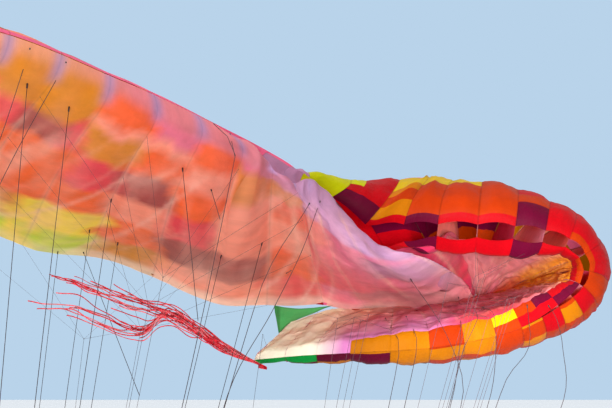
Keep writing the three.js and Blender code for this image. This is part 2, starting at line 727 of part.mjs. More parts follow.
function addSide(side) {
  const frame = riserFrame(side);
  const up = new THREE.Vector3(...RISER_UP[side]).normalize();
  const group = new THREE.Group();
  group.applyMatrix4(frame);
  paraglider.add(group);
  const inWorld = (x, y, z) => new THREE.Vector3(x, y, z).applyMatrix4(frame);
  place("riser_" + side, riser(), cloth("webbing"), group);
  place("brake_pulley_" + side, brakePulley(), metal(), group);
  place("sheave_" + side, sheave(), metal(), group);
  place("brake_toggle_" + side, brakeHandle(), cloth("webbing"), group);
  for (const [row, back] of Object.entries(STRAPS)) {
    place("quick_link_" + row + "_" + side, quickLink(back), metal(), group);
    const root = inWorld(0, back, linkTop());
    const branches =
      side === "left"
        ? leftBranches(LEFT_GROUPS, ROWS[row], ROW_OFF[row])
        : rightBranches(RIGHT_GROUPS, ROWS[row], root);
    place("lines_" + row + "_" + side, weldedGeometryOf(lineTree(root, up, branches)), cloth("line"));
  }
  const start = inWorld(BRAKE_SIDE, BRAKE_LINE_BACK, BRAKE_START);
  const spread = inWorld(BRAKE_SIDE, BRAKE_LINE_BACK, BRAKE_SPREAD);
  const brakes =
    side === "left"
      ? leftBranches(LEFT_BRAKES, BRAKE_ROW, ROW_OFF.brake)
      : rightBranches(RIGHT_BRAKES, BRAKE_ROW, spread);
  const brakeTree = join([lineTree(spread, up, brakes), rod(start, spread, MAIN_LINE_R)]);
  place("brake_lines_" + side, weldedGeometryOf(brakeTree), cloth("line"));
  const stabiloRoot = inWorld(STABILO_SIDE, STRAPS.c, linkTop());
  const tab = tabAt(STABILIZERS[side].rib, STABILO_ROW);
  const stabiloKnot = new THREE.Vector3(...STABILO_KNOT[side]);
  const stabilo = lineTree(stabiloRoot, up, [{ knot: stabiloKnot, tabs: [tab] }]);
  place("stabilo_line_" + side, weldedGeometryOf(stabilo), cloth("line"));
  place("stabilizer_" + side, stabilizer(STABILIZERS[side]), cloth(side === "left" ? "green" : "lime"));
}

function tipStreamers() {
  const path = new THREE.CatmullRomCurve3(STREAMER_PATH.map((point) => new THREE.Vector3(...point)));
  const round = [...Array(STREAMER_SIDES).keys()].map((i) => {
    const turn = (2 * Math.PI * i) / STREAMER_SIDES;
    return new THREE.Vector2(STREAMER_R * Math.cos(turn), STREAMER_R * Math.sin(turn));
  });
  const options = { steps: STREAMER_STEPS, bevelEnabled: false, extrudePath: path };
  const bundle = solid(new THREE.ExtrudeGeometry(new THREE.Shape(round), options));
  const { at, out } = tabAt(0, STREAMER_ROW);
  const tie = rod(at, path.getPoint(STREAMER_TIE), TAB_R / 2);
  return weldedGeometryOf(join([bundle, tie, bead(at, TAB_R, out)]));
}

addCanopy();
addSide("left");
addSide("right");
place("tip_streamers", tipStreamers(), cloth("ribbon"));

export default paraglider;
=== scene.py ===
"""Paraglider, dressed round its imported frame: canopy cloth with its patchwork, ribs, lines,
ribbons, webbing and metal. Metres, +Z up, the frame's own axes."""

import json
import math

import bpy
import numpy as np
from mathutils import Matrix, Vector


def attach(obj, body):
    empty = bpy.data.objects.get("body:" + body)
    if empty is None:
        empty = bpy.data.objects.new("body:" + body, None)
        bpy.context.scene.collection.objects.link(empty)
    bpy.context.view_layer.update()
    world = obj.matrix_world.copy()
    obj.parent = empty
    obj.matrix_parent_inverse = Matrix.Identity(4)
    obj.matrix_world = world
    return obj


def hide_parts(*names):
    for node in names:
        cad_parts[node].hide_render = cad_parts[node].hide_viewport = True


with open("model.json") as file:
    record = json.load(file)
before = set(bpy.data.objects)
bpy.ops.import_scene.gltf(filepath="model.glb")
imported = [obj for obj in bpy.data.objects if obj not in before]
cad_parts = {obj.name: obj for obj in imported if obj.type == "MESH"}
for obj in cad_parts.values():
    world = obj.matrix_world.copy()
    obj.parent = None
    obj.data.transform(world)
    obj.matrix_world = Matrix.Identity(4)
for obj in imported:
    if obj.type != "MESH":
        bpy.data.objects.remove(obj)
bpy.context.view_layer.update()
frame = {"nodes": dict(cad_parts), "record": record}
SLOTS = {part["node"]: part["material_slot"] for part in frame["record"]["subparts"]}
MM = 0.001

# Camera: low in front of the wing, looking up at it.
CAMERA_AT = (1.09, -3.28, 4.2)
CAMERA_PITCH = math.radians(12.7)
LENS_MM = 50
SENSOR_MM = 36

# Stations along the span, in millimetres: the rib's number from the left tip, leading edge,
# trailing edge, bow of the section, sag of the lower skin, fullness over and under the chord.
STATIONS = (
    (0, (730, 2710, 4440), (970, 3060, 4730), (0, 0, 0), (0, 0, 0), 1, 1),
    (1.5, (1050, 2760, 4470), (1280, 3440, 4860), (0, 0, 0), (0, 0, 0), 1, 1),
    (3, (1400, 2810, 4490), (1620, 3840, 4905), (0, 0, 20), (0, 0, 0), 1, 1),
    (5, (1980, 2900, 4530), (2080, 4620, 5015), (0, 0, 40), (0, 0, 0), 0.9, 0.9),
    (7.5, (2580, 2980, 4650), (2550, 4980, 5130), (0, 0, 20), (0, 0, 0), 0.9, 0.9),
    (10, (2970, 3040, 4850), (2850, 5230, 5175), (0, 0, 0), (0, 0, 0), 1, 0.8),
    (12, (3150, 3050, 5010), (2960, 5300, 5185), (0, 0, 0), (0, 0, 0), 1.1, 0.5),
    (13.5, (3190, 3060, 5170), (3080, 5440, 5215), (20, 0, 20), (0, 0, 0), 1.1, 0.35),
    (15, (3060, 3030, 5310), (2940, 5290, 5255), (30, 0, 60), (0, 0, 0), 1.2, 0.5),
    (17, (2660, 3010, 5390), (2810, 5190, 5225), (20, 0, 180), (0, 0, 0), 1.25, 0.9),
    (19.2, (2020, 3010, 5410), (2760, 5070, 5195), (0, 0, 260), (0, 0, 0), 1.25, 0.9),
    (20.2, (1760, 2980, 5410), (2710, 4865, 5140), (0, 0, 300), (0, -60, -110), 1.2, 1),
    (20.9, (1530, 2910, 5420), (2650, 4620, 5090), (0, 0, 340), (-20, -400, -150), 1, 1),
    (22.1, (1230, 2780, 5680), (2050, 4450, 5005), (0, 0, 200), (-100, -900, -300), 0.9, 0.9),
    (23.3, (1080, 2600, 5750), (1500, 4320, 4960), (0, -50, 50), (-60, -650, -200), 0.8, 0.8),
    (24.5, (970, 2430, 5790), (1040, 4130, 4980), (0, -150, -50), (0, -300, -60), 0.8, 0.8),
    (25.6, (720, 2150, 5860), (390, 4080, 4960), (0, -200, -80), (0, 0, 0), 0.9, 0.9),
    (26.7, (490, 1880, 5900), (-60, 3890, 5120), (0, -200, -80), (0, 0, 0), 1, 1),
    (27.7, (250, 1680, 5960), (-560, 3700, 5300), (0, -200, -80), (0, 0, 0), 1, 1),
    (28.7, (20, 1490, 6010), (-1070, 3530, 5350), (0, -200, -80), (0, 0, 0), 1, 1),
    (31.2, (-600, 1100, 6145), (-2010, 3040, 5720), (0, -200, -80), (0, 0, 0), 1, 1),
    (34, (-1300, 720, 6090), (-2590, 2650, 5770), (0, -150, -50), (0, 0, 0), 1, 1),
    (37, (-2050, 420, 5860), (-3000, 2250, 5480), (0, 0, 0), (0, 0, 0), 1, 1),
    (40, (-2720, 220, 5420), (-3350, 1810, 5070), (0, 0, 0), (0, 0, 0), 1, 1),
    (42, (-3080, 140, 5040), (-3500, 1440, 4760), (0, 0, 0), (0, 0, 0), 1, 1),
    (44, (-3310, 160, 4600), (-3520, 970, 4430), (0, 0, 0), (0, 0, 0), 1, 1),
)
RIBS_AT = np.array([row[0] for row in STATIONS], float)
LEAD, TRAIL, BOW, SAG = (np.array([row[k] for row in STATIONS], float) * MM for k in (1, 2, 3, 4))
FULL_UPPER, FULL_LOWER = (np.array([[row[k]] for row in STATIONS], float) for k in (5, 6))

# Section outline: share of the chord and height over it, from the nose opening's lip back.
UPPER_OUTLINE = np.array((
    (0.004, 0.018), (0.008, 0.036), (0.02, 0.056), (0.05, 0.082), (0.12, 0.109),
    (0.25, 0.123), (0.42, 0.112), (0.6, 0.082), (0.8, 0.04), (1, 0),
))
LOWER_OUTLINE = np.array((
    (0.006, -0.02), (0.016, -0.05), (0.045, -0.07), (0.1, -0.07),
    (0.3, -0.057), (0.55, -0.036), (0.78, -0.015), (1, 0),
))
CELLS = 44
CELLS_PER_PANEL = 4
SHARED_NOSE = 0.12  # shares of the chord at nose and tail over which both skins turn the same way
SHARED_TAIL = 0.15
LOOSE_SAG = 0.15  # metres of sag from which the lower skin counts as all slack
LIP_DROP = np.array((0, 0, -0.12))  # how far the lip of a slack lower skin hangs
LIP_FADE = 6  # how fast that fades behind the lip
BULGE_SCALE = 6.75  # makes the highest point of share * (1 - share) ** 2 come to 1
SLOPE_STEP = 0.02  # in ribs and in share, for the slope of the surface
FACE_OFF = 0.0031  # from the chord line's surface to a skin's outer face
RIB_SAG = 0.06  # where the lower skin sags more than this, no rib reaches it

# The cloth colours, as sRGB, each with the letter that the patchwork gives it
CLOTH = {
    "r": "A4000C",
    "m": "560022",
    "o": "A02C00",
    "a": "AE6600",
    "y": "BEA200",
    "l": "B4BC00",
    "g": "059038",
    "p": "E86890",
    "s": "E88C70",
    "v": "B084A8",
    "c": "F4E6E0",
}

# The same colours with light behind them, as they look through the lower skin
LIT = {
    "r": "F04450",
    "m": "A84E48",
    "o": "FF6A20",
    "a": "E08E1C",
    "y": "FFE040",
    "l": "CCD838",
    "g": "54C068",
    "p": "E87890",
    "s": "FFA080",
    "v": "BC90B0",
}

# Where the upper skin's fields start and end, as shares of the chord, and the same for the two
# rows under the mouth
FIELDS = (0, 0.011, 0.045, 0.09, 0.13, 0.24, 0.4, 0.58, 0.78, 1)
UNDER_FIELDS = (0, 0.022, 0.05, 1)

# First cell of each group, the colours under its mouth and of the upper skin's fields, both
# from the nose back
PATCHWORK = (
    (0, "cc", "ggglalalg"),
    (1, "cc", "ggmlaglal"),
    (2, "cc", "mmamamlgo"),
    (3, "aa", "ammramram"),
    (4, "aa", "aaamromoa"),
    (5, "oo", "oaormaorm"),
    (6, "aa", "aaoarrmao"),
    (7, "oy", "oooamorao"),
    (8, "ro", "aoarroamr"),
    (9, "rm", "rroorpsas"),
    (10, "mr", "oaorrpsap"),
    (11, "mr", "rrorraspa"),
    (12, "or", "ooorraasp"),
    (13, "or", "orrrraasp"),
    (14, "rr", "orrrrpaps"),
    (15, "rr", "rrrrrpsap"),
    (16, "mm", "mmorroaro"),
    (17, "rr", "roooopmoa"),
    (18, "rr", "roooypmom"),
    (19, "mm", "moooypmor"),
    (20, "rr", "raoaypmar"),
    (21, "mm", "mmrrrrmrm"),
    (21.7, "mm", "mmrllrmrm"),
    (22, "cc", "lllllrrrm"),
    (23, "cc", "vvvvvorrp"),
    (24, "cc", "pvvvaosor"),
    (25, "cc", "pppaassms"),
    (26, "cc", "ppoosorms"),
    (27, "cc", "pppsomsoa"),
    (28, "cc", "psosaroyl"),
    (29, "cc", "paaarooyy"),
    (29.45, "cc", "paaamooal"),
    (30, "cc", "psaaroooy"),
    (31, "cc", "paarroaoy"),
    (33, "cc", "rpoamraol"),
    (35, "cc", "rprooamra"),
    (37, "cc", "rparomoal"),
    (39, "cc", "rpomraoay"),
    (41, "cc", "rpaoomryl"),
    (43, "cc", "gglgaoalg"),
)

# Tints of the white lower cloth, as sRGB: light comes through it and off the cloth round it
TINT = {
    "cream": "FFF6DC",
    "sand": "F8DCC4",
    "straw": "F8CC8C",
    "peach": "F4AC88",
    "amber": "FFAA14",
    "coral": "F06C50",
    "blush": "E48890",
    "rose": "DC5C7C",
    "crimson": "C02850",
    "mauve": "C878B0",
    "lavender": "B48AAE",
}

# Where the lower skin has which tint: rib, front, middle and back of the chord, and how much of
# the upper skin shows through there
TINTS = (
    (0, "cream", "cream", "cream", 0.03),
    (1.8, "cream", "sand", "sand", 0.06),
    (2.8, "mauve", "blush", "peach", 0.1),
    (5, "mauve", "rose", "rose", 0.15),
    (6.2, "crimson", "rose", "rose", 0.18),
    (8, "crimson", "rose", "rose", 0.2),
    (10, "blush", "blush", "blush", 0.18),
    (11.3, "peach", "peach", "blush", 0.18),
    (11.7, "amber", "amber", "amber", 0.12),
    (14.5, "amber", "amber", "coral", 0.12),
    (15.2, "peach", "blush", "blush", 0.15),
    (18.6, "blush", "blush", "blush", 0.1),
    (19.6, "crimson", "crimson", "crimson", 0.15),
    (20.2, "crimson", "crimson", "crimson", 0.15),
    (20.7, "lavender", "lavender", "blush", 0.1),
    (22, "lavender", "lavender", "blush", 0.5),
    (23.5, "lavender", "blush", "coral", 0.6),
    (26, "blush", "coral", "peach", 0.85),
    (28.5, "blush", "coral", "straw", 0.95),
    (30, "peach", "coral", "straw", 0.95),
    (44, "peach", "coral", "straw", 0.9),
)
# Shares of the chord where the front, middle and back tints lie
TINT_AT = (0.06, 0.42, 0.97)
# How far the fields that show through are blurred, in ribs and in share
BLUR_RIBS = (-0.12, -0.04, 0.04, 0.12)
BLUR_SHARE = (-0.014, -0.005, 0.005, 0.014)
# Rib, and the share of the chord ahead of which nothing shows through
QUIET = (
    (0, 0.03), (16, 0.05), (20.5, 0.34), (22.2, 0.32), (23, 0.24), (24, 0.15), (25, 0.085), (26, 0.05),
    (28, 0.02), (29, 0), (44, 0),
)
QUIET_FADE = 0.03
FOLD_COLOUR = "FFC8B0"  # seams, streaks and folds that catch the light
# Painted shade at the top of each seam
SEAM_SHADE_COLOUR = "A898CC"
# Painted light on the thin tail, where light comes through it
TAIL_LIGHT_COLOUR = "FFE8CC"
# Rib, and how much painted light lies on the tail there
TAIL_LIGHT = ((0, 0), (22, 0), (24, 0.5), (26, 0.8), (28, 0.6), (29, 0.25), (44, 0.25))

# Moves: rib and share of each one's middle, its reach in ribs and in share, which skin it
# moves (1 upper, -1 lower, 0 both), and the move in metres
MOVES = (
    (20.95, 0.55, 0.26, 0.4, -1, (0.05, -0.13, 0.09)),  # ridge of the near fold
    (20.42, 0.55, 0.17, 0.36, -1, (-0.04, 0.13, -0.06)),  # valley behind it
    (16.2, 1, 2.3, 0.14, 0, (0, 0, -0.075)),  # tails drawn together at the bowl's middle
    (11.5, 1, 1.5, 0.12, 0, (0, 0, 0.015)),  # tails at the curl's end
    (22.1, 0.16, 1.1, 0.2, 1, (0, 0, -0.13)),  # slack top of the far half
    (22.3, 0.12, 1.0, 0.3, -1, (0.03, 0, 0.05)),  # near fold, brought up against the far half
    (23, 0, 0.75, 0.06, -1, (0.01, -0.06, 0.08)),  # the fold's lip
    (19.3, 0.16, 1.2, 0.1, 1, (0, 0, -0.035)),  # slack top, further along
)

ACROSS = 14  # faces over a cell
ALONG = 80  # faces from nose to tail
SPREAD = 1.35  # more than 1 puts more faces at the nose
BILLOW = 0.085  # how far a cell bulges between its ribs, as a share of its width
BILLOW_WIDTHS = (0.08, 0.34)  # the least and the most that a cell's width counts as, in metres
# Rib, and how full the cells are between their ribs
FULLNESS = ((0, 0.45), (9, 0.5), (12, 0.8), (15, 1), (44, 1))
# Rib, and how far the mouth is shut, from 0 to 1
MOUTH_SHUT = ((0, 1), (8, 1), (10, 0.85), (12, 0.6), (14, 0.3), (16, 0), (44, 0))
# Rib, and how far the lower lip rises to the upper one
LIP_RISE = ((0, 0), (21.8, 0), (22.8, 1.03), (44, 1.03))
LIP_GAP = 0.038  # height from lip to lip, as a share of the chord
LIP_AT = 0.006  # share of the chord at the lips
LIP_LONG = 0.018  # how far back from there a shut mouth opens out
# Rib, and how far the lower skin hangs behind its lip, as a share of the chord
NOSE_HANG = ((0, 0), (15, 0), (16.5, 0.03), (20, 0.036), (21, 0), (44, 0))
HANG_FROM = (0.004, 0.03)  # the shares of the chord over which it starts to hang, and stops
HANG_TO = (0.06, 0.2)
TAIL_HELD = (0.9, 1)  # the shares over which both skins come to lie together
# Rib, and how far the cloth crumples, in metres
CRUMPLE = (
    (0, 0.01), (8, 0.01), (10, 0.013), (13, 0.014), (15, 0.008), (17, 0.006), (20, 0.008), (22, 0.014),
    (24, 0.005), (44, 0.004),
)
# How deep the other folds are, in metres
PUCKER_DEEP = 0.0035
STREAK_DEEP = 0.01
FINE_DEEP = 0.003
FOLD_DEEP = 0.035
PUCKER_PITCH = 0.085  # from pucker to pucker along a seam, and how far they reach from it
PUCKER_REACH = 0.05

# Ribs: points along and up, the shares of the chord where they start and end, how close to the
# lower and the upper skin they come as shares of the height between, and their colours
RIB_STEPS = 40
RIB_ROWS = 5
RIB_FROM = 0.012
RIB_LONG = 0.94
RIB_SPREAD = 1.3
RIB_HEIGHTS = (0.02, 0.975)
RIB_COLOURS = ("F8A8BC", "D03060", "FAC0C8", "F08070")
RIB_CLOTH = (2.4, 0.08)  # metres of cloth for a whole chord and between two rows
RIB_SEAM = 0.02  # metres from the rib's seam for each row of points away from it
TIP_IN = 0.02  # how far inside the tip the last rib stands, in ribs

# The fins: the rib that each hangs from, the share of the chord where it starts, its two free
# corners in millimetres, its colour, and the node that it hangs at
STABILIZERS = {
    "left": {
        "rib": 0, "from": 0.66, "free": ((1310, 3530, 4900), (845, 3234, 4870)),
        "colour": "g", "at": "lower_skin_ribs_01",
    },
    "right": {
        "rib": 44, "from": 0.2, "free": ((-3600, 900, 4290), (-3400, 300, 4380)),
        "colour": "l", "at": "lower_skin_ribs_11",
    },
}

FIN_ROWS = 26
FIN_COLUMNS = 22
FIN_OFF = 0.004  # metres from the tip's own cloth
FIN_SWELL = 0.035
FIN_RUFFLE = 0.012
HEM = 0.012  # metres from a fin's edge to its stitching

LINE_COLOUR = "3A2B30"
FINE_LINE_COLOUR = "241418"
WEBBING_COLOUR = "26282E"
# How far the edges of the straps and the steel are rounded, in metres
ROUNDED = {"webbing": 0.0009, "steel": 0.0004}

# Ribbons: the two ways that they stream, in millimetres
STREAMER_PATH = (
    (760, 2690, 4395), (820, 2680, 4385), (530, 2640, 4520), (330, 2570, 4640),
    (130, 2550, 4720), (-40, 2580, 4600), (-480, 2490, 4730), (-790, 2440, 4750),
)
STREAMER_UPPER = (
    *STREAMER_PATH[:4], (160, 2550, 4735), (25, 2550, 4765),
    (-213, 2530, 4825), (-452, 2500, 4900), (-691, 2480, 4975),
)
RIBBONS = 34
UPPER_SHARE = 0.42  # of the ribbons, how many stream along the upper path
RIBBON_WIDTH = 0.008
RIBBON_STEPS = 70
RIBBON_COLOURS = ("8C0014", "E0182C")

# Lines, in metres: where each one starts on the lower skin, as rib and share, the points that it
# passes, and the riser that it ends at, or None where it ends at another line
LINE_R = 0.002
LINE_STEPS = 14  # points from stop to stop
TAB_R = 0.005  # the tab of cloth that holds a line
TAB_LONG = 0.03
TUBE_UP = (0.13, 0.97, 0.21)  # a way that no line runs
RISER_TOPS = {"right": (-0.165, 0.2, 0.53), "left": (0.44, 0.27, 0.46)}
JOIN = (0.66, 1.68, 5.61)
FORK = (0.5, 1.39, 4.6)
LINES = {
    "near": (
        (26.57, 0.006, JOIN, "right"),
        (26.1, 0.006, JOIN, None),
        (27.07, 0.169, FORK, None),
        (26.5, 0.216, (0.59, 1.56, 5.2), None),
        (25.79, 0.577, "right"),
        (23.1, 0.1, (0.8, 1.63, 4.72), "right"),
        (22.6, 0.08, (1.06, 1.96, 5.07), (0.9, 1.73, 4.7), (0.67, 1.24, 4.16), "right"),
        (24.71, 0.758, (1.0, 1.9, 4.95), None),
        (25.14, 0.497, "right"),
        (30.36, 0.069, "right"),
        (29.5, 0.089, "right"),
        (28, 0.462, "right"),
        (30.6, 0.01, (-0.49, 0.94, 5.51), (-0.59, 0.62, 4.63), "right"),
        (29.9, 0.01, (-0.45, 0.89, 5.26), (-0.55, 0.6, 4.55), "right"),
        (28.43, 0.975, "right"),
        (28.07, 0.967, (0.1, 1.9, 4.2), None),
        (28.14, 0.719, "right"),
        (27.64, 0.79, "right"),
    ),
    "bowl": (
        (3.79, 0.421, (1.71, 2.56, 4.42), "left"),
        (4.43, 0.302, (1.83, 2.56, 4.45), "left"),
        (21.43, 0.533, (2.07, 2.68, 4.6), (2.08, 2.27, 4.15), "left"),
        (21.2, 0.95, (2.17, 2.72, 4.62), (2.03, 2.37, 4.15), "left"),
        (7.21, 0.621, (2.3, 2.75, 4.72), (2.19, 2.69, 4.53), (2.02, 2.37, 4.15), "left"),
        (7.1, 0.234, (2.44, 2.85, 4.76), (2.41, 2.7, 4.52), (2.27, 2.37, 4.15), "left"),
        (9.57, 0.014, (2.9, 2.9, 4.75), (2.87, 2.69, 4.54), (2.72, 2.27, 4.15), "left"),
        (8.7, 0.04, (2.68, 2.84, 4.55), (2.36, 2.35, 4.24), "left"),
    ),
}

# Floor, just below where a handle comes when it is pulled down
FLOOR_HALF = 1500
FLOOR_Z = -0.75
FLOOR_COLOUR = (0.44, 0.48, 0.52, 1)

# Light: the backdrop that the camera sees, the light from all round, the suns, each with the way
# that it shines from, its strength and its width in degrees, and two lamps
BACKDROP = "B9D3EA"
ALL_ROUND = (1, 0.98, 0.97, 1)
ALL_ROUND_STRENGTH = 0.8
SUNS = (
    ("sun", (-4, -3, 9), 3.0, 3),
    ("front", (1.5, -8, 0.6), 1.4, 30),
)
BOWL_LIGHT = {"from": (1.9, -5, 3.6), "to": (2.6, 4.3, 5.0), "watts": 13500, "cone": 19, "radius": 0.8}
SOFTBOX = {"from": (-0.8, -3, 1.2), "to": (-0.6, 2.2, 5.5), "watts": 270, "size": 3}


def linear(code):
    """An sRGB code as linear light."""
    values = np.array([int(code[k : k + 2], 16) / 255 for k in (0, 2, 4)])
    return np.where(values <= 0.04045, values / 12.92, ((values + 0.055) / 1.055) ** 2.4)


def unit(v):
    return v / np.maximum(np.linalg.norm(v, axis=-1, keepdims=True), 1e-12)


def smooth(value, low, high):
    t = np.clip((value - low) / (high - low), 0, 1)
    return t * t * (3 - 2 * t)


# Surface of the canopy


def hermite(at, knots, values):
    """A smooth curve through rows of values, each knot's slope taken from its neighbours."""
    last = len(knots) - 1
    order = np.arange(last + 1)
    after, before = np.minimum(order + 1, last), np.maximum(order - 1, 0)
    slope = (values[after] - values[before]) / (knots[after] - knots[before])[:, None]
    i = np.clip(np.searchsorted(knots, at, side="left") - 1, 0, last - 1)
    width = (knots[i + 1] - knots[i])[..., None]
    t = (at - knots[i])[..., None] / width
    t2, t3 = t * t, t * t * t
    return (
        (2 * t3 - 3 * t2 + 1) * values[i]
        + (t3 - 2 * t2 + t) * width * slope[i]
        + (3 * t2 - 2 * t3) * values[i + 1]
        + (t3 - t2) * width * slope[i + 1]
    )


def along(ribs, values):
    return hermite(ribs, RIBS_AT, values)


def at_rib(rib, values):
    return along(np.array([float(rib)]), values)[0]


def chord(ribs):
    return np.linalg.norm(along(ribs, LEAD) - along(ribs, TRAIL), axis=-1)


def loose_at(ribs):
    return np.minimum(np.linalg.norm(along(ribs, SAG), axis=-1) / LOOSE_SAG, 1)


def middle(ribs, share, side):
    """A skin's guide surface: the chord line, bowed and sagging most at its front third."""
    c = share[..., None]
    lead = along(ribs, LEAD)
    curve = lead + (along(ribs, TRAIL) - lead) * c
    bulge = BULGE_SCALE * c * (1 - c) ** 2
    if side > 0:
        return curve + along(ribs, BOW) * bulge
    loose = loose_at(ribs)[..., None]
    curve = curve + along(ribs, BOW) * bulge * (1 - loose)
    return curve + LIP_DROP * (1 - c) ** LIP_FADE * loose + along(ribs, SAG) * bulge


def upwards(ribs, share, side):
    def at(r, c):
        return middle(np.clip(r, 0, CELLS), np.clip(c, 0, 1), side)

    spanwise = at(ribs + SLOPE_STEP, share) - at(ribs - SLOPE_STEP, share)
    chordwise = at(ribs, share + SLOPE_STEP) - at(ribs, share - SLOPE_STEP)
    return unit(np.cross(chordwise, spanwise))


def table_at(ribs, table):
    return np.interp(ribs, [row[0] for row in table], [row[1] for row in table])


def outline_at(places, side):
    """Share of the chord and height at places from 0 to 1 along an outline, on a smooth curve."""
    outline = UPPER_OUTLINE if side > 0 else LOWER_OUTLINE
    steps = np.linalg.norm(np.diff(outline, axis=0), axis=1)
    run = np.concatenate(([0], np.cumsum(steps)))
    found = hermite(places * run[-1], run, outline)
    return found[..., 0], found[..., 1]


def place_of(share, side):
    """The place along an outline where it reaches a share of the chord."""
    places = np.linspace(0, 1, 2001)
    return np.interp(share, outline_at(places, side)[0], places)


def noise(x, y, seed):
    """Smooth noise from -1 to 1. Each seed gives a pattern of its own."""
    size = 64
    table = np.random.default_rng(seed).uniform(-1, 1, (size, size))
    i, j = np.floor(x).astype(int), np.floor(y).astype(int)
    u, v = x - i, y - j
    u, v = u * u * (3 - 2 * u), v * v * (3 - 2 * v)
    a, b = table[i % size, j % size], table[(i + 1) % size, j % size]
    c, d = table[i % size, (j + 1) % size], table[(i + 1) % size, (j + 1) % size]
    return (a * (1 - u) + b * u) * (1 - v) + (c * (1 - u) + d * u) * v


def cell_width(ribs, share):
    """How wide a cell is from rib to rib, as far as its billow goes."""
    front = np.linalg.norm(along(ribs + 0.5, LEAD) - along(ribs - 0.5, LEAD), axis=-1)
    before, after = np.maximum(ribs - 0.5, 0), np.minimum(ribs + 0.5, CELLS)
    back = np.linalg.norm(along(after, TRAIL) - along(before, TRAIL), axis=-1)
    return np.clip(front * (1 - share) + back * share, *BILLOW_WIDTHS)


def ridges(x, y, seed):
    """Noise with sharp ridges."""
    return 0.6 - np.abs(noise(x, y, seed)) * 2


def lip_fade(share):
    """1 at the lips of the mouth, and less further back."""
    return np.exp(-np.maximum(share - LIP_AT, 0) / LIP_LONG)


def puckers(ribs, share, side):
    """How far cloth stands out or in between its ribs: billow, seam puckers, folds and creases."""
    part = ribs - np.floor(np.minimum(ribs, CELLS - 1e-6))
    width = cell_width(ribs, share)
    loose = loose_at(ribs) if side < 0 else np.zeros_like(ribs)
    long = share * chord(ribs)
    # Billow, which fades towards the tail, in slack cloth and at lips that are shut
    arch = 4 * part * (1 - part)
    taper = smooth(1 - share, 0, 0.25) * 0.85 + 0.15
    billow = BILLOW * table_at(ribs, FULLNESS) * width * arch * taper * (1 - 0.7 * loose)
    shut = np.maximum(table_at(ribs, MOUTH_SHUT), table_at(ribs, LIP_RISE))
    billow = billow * (1 - np.minimum(shut, 1) * lip_fade(share))
    # Puckers along the seams, slanting streaks and fine unevenness
    side_on = np.minimum(part, 1 - part) * width
    phase = 2.3 * np.round(ribs)
    seam = PUCKER_DEEP * np.exp(-((side_on / PUCKER_REACH) ** 2))
    seam = seam * np.sin(long * 2 * math.pi / PUCKER_PITCH + phase)
    streak = STREAK_DEEP * noise((ribs - long) * 2.8, ribs * 0.5 + long * 0.6, 4 + side)
    fine = FINE_DEEP * noise(ribs * 9.7 + long * 2.1, long * 11, 8 + side)
    calm = smooth(share, 0.01, 0.12)
    # Soft folds in slack cloth, and sharp creases
    folds = loose * FOLD_DEEP * noise(ribs * 1.9 + long * 0.8, long * 1.3 + ribs * 0.5, 12)
    crease = ridges(ribs * 1.6 + long * 1.1, long * 3.4 - ribs * 0.7, 15 + side)
    crease = crease + 0.5 * ridges(ribs * 3.7 - long * 2.3, long * 7.3 + ribs, 18 + side)
    free = smooth(share, 0, 0.03) * (1 - smooth(share, *TAIL_HELD))
    crumple = table_at(ribs, CRUMPLE) * crease * free
    return billow + (seam + streak + fine) * calm + folds + crumple


def skin_points(ribs, places, side, dressed=True):
    """Points of a skin at arrays of ribs and of places along its outline."""
    share, height = outline_at(places, side)
    length = chord(ribs)
    loose = loose_at(ribs)
    shut = table_at(ribs, MOUTH_SHUT) * lip_fade(share)
    height = height * (1 - shut)
    if side > 0:
        full = along(ribs, FULL_UPPER)[..., 0]
    else:
        full = along(ribs, FULL_LOWER)[..., 0] * (1 - loose)
        hang = smooth(share, *HANG_FROM) * (1 - smooth(share, *HANG_TO))
        height = height - table_at(ribs, NOSE_HANG) * hang
        height = height + LIP_GAP * table_at(ribs, LIP_RISE) * lip_fade(share)
    share = np.clip(share, 0, 1)
    off = height * length * full + side * FACE_OFF * (1 - shut)
    if dressed:
        off = off + side * puckers(ribs, share, side)
    own = np.minimum(np.minimum(share / SHARED_NOSE + loose, (1 - share) / SHARED_TAIL), 1)
    own = np.maximum(own, 0)[..., None]
    up = unit(upwards(ribs, share, 1) * (1 - own) + upwards(ribs, share, side) * own)
    points = middle(ribs, share, side) + up * off[..., None]
    for rib, at, ribs_wide, shares_long, which, move in MOVES:
        if which in (0, side):
            reach = np.exp(-(((ribs - rib) / ribs_wide) ** 2) - ((share - at) / shares_long) ** 2)
            if which != 0:
                reach = reach * (1 - smooth(share, *TAIL_HELD))
            points = points + reach[..., None] * np.array(move)
    return points, share


def bare_edge(rib, share, side):
    """Points of an undressed skin along one rib."""
    return skin_points(np.full(len(share), float(rib)), place_of(share, side), side, dressed=False)[0]


# Colours of the canopy


def patch_colours(palette, column):
    return np.array([[linear(palette[letter]) for letter in row[column]] for row in PATCHWORK])


GROUP_FROM = np.array([row[0] for row in PATCHWORK])
UNDER_COLOURS, FIELD_COLOURS = patch_colours(CLOTH, 1), patch_colours(CLOTH, 2)
LIT_COLOURS = patch_colours(LIT, 2)
UNDER_PLAIN = np.array([row[1] == "cc" for row in PATCHWORK])
TINT_RIBS = np.array([row[0] for row in TINTS])
TINT_COLOURS = np.array([[linear(TINT[name]) for name in row[1:4]] for row in TINTS])
TINT_THROUGH = np.array([row[4] for row in TINTS])


def group_of(ribs):
    return np.searchsorted(GROUP_FROM, np.clip(ribs, 0, CELLS - 0.01), side="right") - 1


def field_at(share, edges):
    return np.clip(np.searchsorted(edges, share, side="right") - 1, 0, len(edges) - 2)


def field_colour(colours, ribs, share):
    return colours[group_of(ribs), field_at(share, FIELDS)]


def blended(colour, other, amount):
    return colour * (1 - amount[..., None]) + other * amount[..., None]


